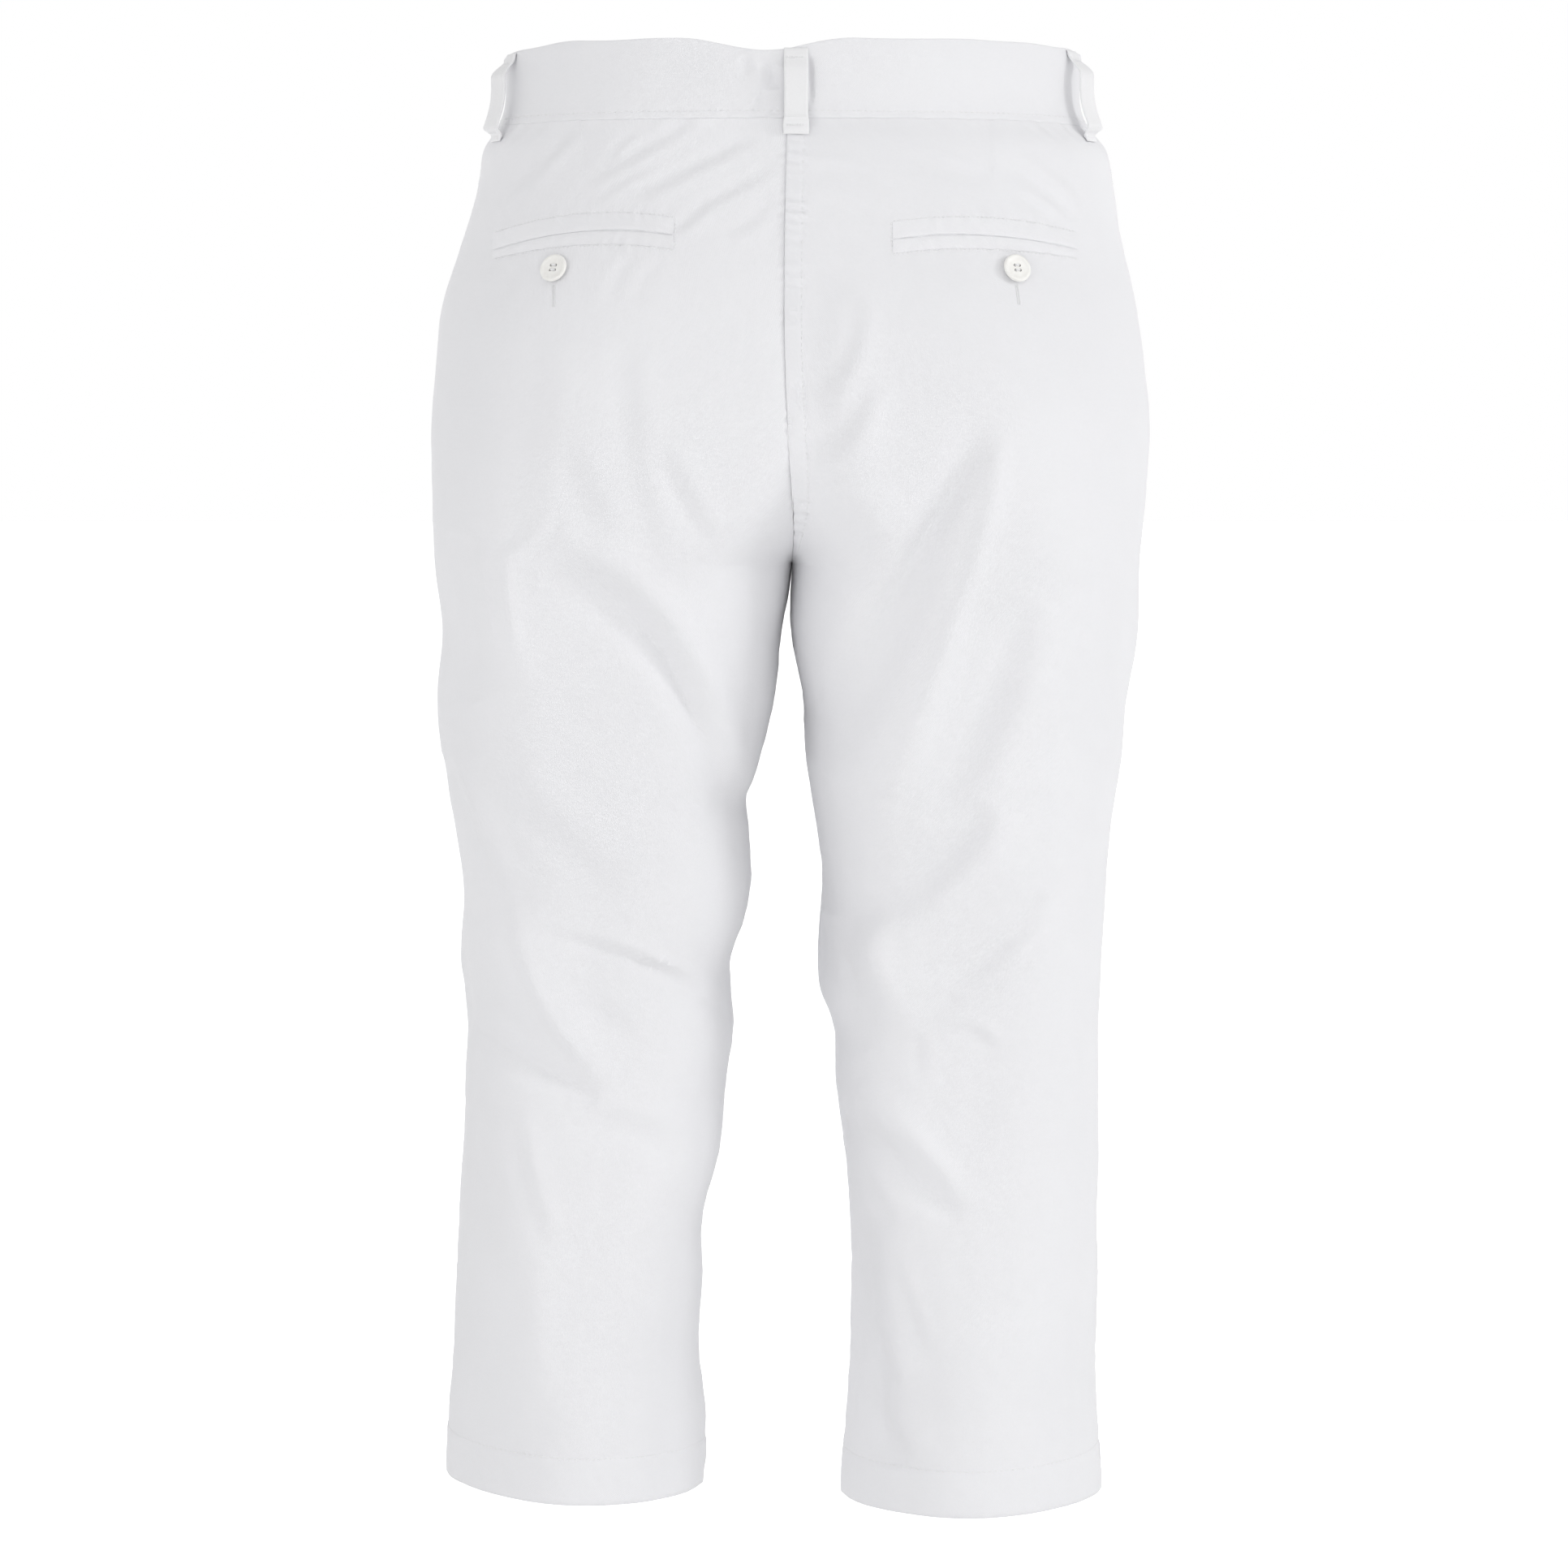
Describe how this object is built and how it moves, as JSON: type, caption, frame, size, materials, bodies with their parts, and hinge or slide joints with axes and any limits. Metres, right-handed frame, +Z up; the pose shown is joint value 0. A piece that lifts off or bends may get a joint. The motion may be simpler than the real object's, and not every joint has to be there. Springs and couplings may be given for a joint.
{
  "type": "capri pants",
  "caption": "White cotton twill capri pants in their worn, hollow form, with contoured waistband, belt loops and buttoned back welt pockets.",
  "frame": {"origin": "middle of the waistband ring, where the wearer's waist holds the garment up", "axes": "+Z up, -Y to the garment's front, +Y to its back, +X to the wearer's left"},
  "size_m": [0.3831, 0.258, 0.7859],
  "materials": {
    "twill": "matte white cotton twill",
    "waistband_twill": "matte white cotton twill, folded and stiffened",
    "trim_twill": "matte white cotton twill, folded strips",
    "button": "satin off-white resin"
  },
  "bodies": {
    "root": {"back_left": "twill", "back_right": "twill", "front_left": "twill", "front_right": "twill", "waistband_left": "waistband_twill", "waistband_right": "waistband_twill", "fly_shield": "trim_twill", "pocket_left_upper_welt": "trim_twill", "pocket_left_lower_welt": "trim_twill", "pocket_right_upper_welt": "trim_twill", "pocket_right_lower_welt": "trim_twill", "loop_back": "trim_twill", "loop_side_left": "trim_twill", "loop_side_right": "trim_twill", "loop_front_left": "trim_twill", "loop_front_right": "trim_twill", "button_pocket_left": "button", "button_pocket_right": "button", "button_waist": "button"}
  },
  "joints": []
}
